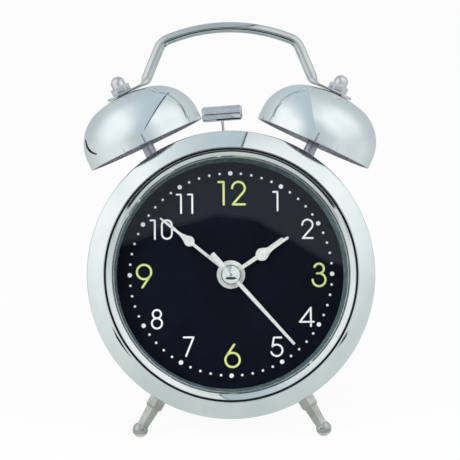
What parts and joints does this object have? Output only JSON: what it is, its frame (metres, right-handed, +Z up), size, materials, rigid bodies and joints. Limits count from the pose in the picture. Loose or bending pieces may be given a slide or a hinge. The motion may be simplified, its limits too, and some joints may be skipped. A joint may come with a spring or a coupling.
{
  "type": "twin-bell alarm clock",
  "caption": "Round metal alarm clock with spun bells on posts, a swinging hammer, a carrying handle, a glazed dial with hands, and ball-ended feet.",
  "frame": {"origin": "centre of the footprint, on the surface that the clock stands on", "axes": "+Z up; the dial faces -Y and leans back, so its lower edge is nearer the viewer; +X to the viewer's right"},
  "size_m": [0.1174, 0.069, 0.1604],
  "materials": {
    "chrome_case": "polished chrome",
    "chrome_ring": "polished chrome",
    "chrome_bell": "polished chrome",
    "chrome_trim": "polished chrome",
    "clear_glass": "clear",
    "grey_surround": "satin teal grey",
    "dial_black": "satin blue-black",
    "green_print": "printed yellow-green",
    "white_print": "printed white",
    "hand_white": "satin silver white",
    "cap_chrome": "polished",
    "black_plastic": "fine texture",
    "white_plastic": "moulded",
    "zinc_steel": "zinc plated",
    "copper_coil": "enamelled wire",
    "board_green": "circuit board",
    "cell_jacket": "plain jacket"
  },
  "bodies": {
    "clock": {"back_cover": "black_plastic", "back_screws": "zinc_steel", "batteries": "cell_jacket", "battery_contacts": "zinc_steel", "bell_left": "chrome_bell", "bell_posts": "chrome_trim", "bell_right": "chrome_bell", "bell_studs": "chrome_trim", "cap_nuts": "chrome_trim", "case_drum": "chrome_case", "circuit_board": "board_green", "coil": "copper_coil", "dial_carrier": "white_plastic", "dial_plate": "dial_black", "dial_surround": "grey_surround", "foot_left": "chrome_trim", "foot_right": "chrome_trim", "hammer_pivot_pin": "zinc_steel", "handle": "chrome_trim", "inner_nuts": "zinc_steel", "lens": "clear_glass", "lens_ring": "chrome_ring", "minute_dots": "white_print", "movement_cover": "white_plastic", "movement_housing": "white_plastic", "movement_screws": "zinc_steel", "numerals_green": "green_print", "numerals_white": "white_print", "quartz_crystal": "zinc_steel", "saddle_washers": "zinc_steel", "stator": "zinc_steel", "striker_bracket": "zinc_steel", "striker_motor": "zinc_steel", "switch_body": "black_plastic", "train_bridge": "white_plastic"},
    "seconds": {"seconds_wheel": "white_plastic", "second_hand": "hand_white", "centre_cap": "cap_chrome"},
    "minute": {"minute_pipe": "white_plastic", "minute_hand": "hand_white"},
    "hour": {"hour_wheel": "white_plastic", "hour_hand": "hand_white"},
    "alarm": {"alarm_wheel": "white_plastic", "alarm_hand": "hand_white"},
    "time_setting": {"time_set_shaft": "white_plastic", "time_set_knob": "black_plastic"},
    "alarm_setting": {"alarm_set_shaft": "white_plastic", "alarm_set_knob": "black_plastic"},
    "rotor": {"rotor": "white_plastic"},
    "intermediate": {"intermediate_wheel": "white_plastic"},
    "third": {"third_wheel": "white_plastic"},
    "centre": {"centre_wheel": "white_plastic"},
    "motion": {"motion_wheel": "white_plastic"},
    "hammer": {"hammer_lever": "zinc_steel", "hammer_rod": "chrome_trim", "hammer_head": "chrome_trim"},
    "crank": {"crank_wheel": "white_plastic"},
    "motor": {"motor_pinion": "white_plastic"},
    "switch": {"alarm_switch": "black_plastic"},
    "door": {"battery_door": "black_plastic"}
  },
  "joints": [
    {"name": "seconds_spin", "type": "hinge", "parent": "clock", "child": "seconds", "pos_m": [0, 0.00117, 0.06056], "axis": [0, 0.9832, -0.1824], "continuous": true},
    {"name": "minute_spin", "type": "hinge", "parent": "clock", "child": "minute", "pos_m": [0, -0.00335, 0.0614], "axis": [0, 0.9832, -0.1824], "continuous": true},
    {"name": "alarm_spin", "type": "hinge", "parent": "clock", "child": "alarm", "pos_m": [0, -0.00571, 0.06183], "axis": [0, 0.9832, -0.1824], "continuous": true},
    {"name": "crank_spin", "type": "hinge", "parent": "clock", "child": "crank", "pos_m": [0, 0.00816, 0.09384], "axis": [0, 0.9832, -0.1824], "continuous": true},
    {"name": "hour_spin", "type": "hinge", "parent": "clock", "child": "hour", "pos_m": [0, -0.00463, 0.06163], "axis": [0, 0.9832, -0.1824], "continuous": true},
    {"name": "rotor_spin", "type": "hinge", "parent": "clock", "child": "rotor", "pos_m": [-0.0102, 0.00108, 0.0546], "axis": [0, 0.9832, -0.1824], "continuous": true},
    {"name": "intermediate_spin", "type": "hinge", "parent": "clock", "child": "intermediate", "pos_m": [-0.00564, 0.00178, 0.05836], "axis": [0, 0.9832, -0.1824], "continuous": true},
    {"name": "third_spin", "type": "hinge", "parent": "clock", "child": "third", "pos_m": [0.0036, -0.00203, 0.05481], "axis": [0, 0.9832, -0.1824], "continuous": true},
    {"name": "centre_spin", "type": "hinge", "parent": "clock", "child": "centre", "pos_m": [0, -0.00217, 0.06118], "axis": [0, 0.9832, -0.1824], "continuous": true},
    {"name": "motion_spin", "type": "hinge", "parent": "clock", "child": "motion", "pos_m": [-0.00739, -0.00312, 0.06268], "axis": [0, 0.9832, -0.1824], "continuous": true},
    {"name": "time_set_spin", "type": "hinge", "parent": "clock", "child": "time_setting", "pos_m": [-0.01388, 0.0252, 0.06124], "axis": [0, 0.9832, -0.1824], "continuous": true},
    {"name": "alarm_set_spin", "type": "hinge", "parent": "clock", "child": "alarm_setting", "pos_m": [0.00846, 0.02484, 0.05929], "axis": [0, 0.9832, -0.1824], "continuous": true},
    {"name": "motor_spin", "type": "hinge", "parent": "clock", "child": "motor", "pos_m": [0.009, 0.00816, 0.09384], "axis": [0, 0.9832, -0.1824], "continuous": true},
    {"name": "hammer_swing", "type": "hinge", "parent": "clock", "child": "hammer", "pos_m": [0, 0.00259, 0.0786], "axis": [0, 0.9832, -0.1824], "range_deg": [0, 7.6]},
    {"name": "alarm_switch_slide", "type": "slide", "parent": "clock", "child": "switch", "axis": [1, 0, 0], "range_m": [0, 0.004]},
    {"name": "battery_door_slide", "type": "slide", "parent": "clock", "child": "door", "axis": [0, 0.9832, -0.1824], "range_m": [0, 0.015]}
  ],
  "couplings": [
    {"joint": "rotor_spin", "follows": "seconds_spin", "ratio": 30},
    {"joint": "intermediate_spin", "follows": "seconds_spin", "ratio": -5},
    {"joint": "third_spin", "follows": "seconds_spin", "ratio": -0.13333},
    {"joint": "centre_spin", "follows": "seconds_spin", "ratio": 0.016667},
    {"joint": "motion_spin", "follows": "minute_spin", "ratio": -0.33333},
    {"joint": "hour_spin", "follows": "minute_spin", "ratio": 0.083333},
    {"joint": "time_set_spin", "follows": "minute_spin", "ratio": 1},
    {"joint": "alarm_set_spin", "follows": "alarm_spin", "ratio": -2},
    {"joint": "motor_spin", "follows": "crank_spin", "ratio": -4}
  ]
}
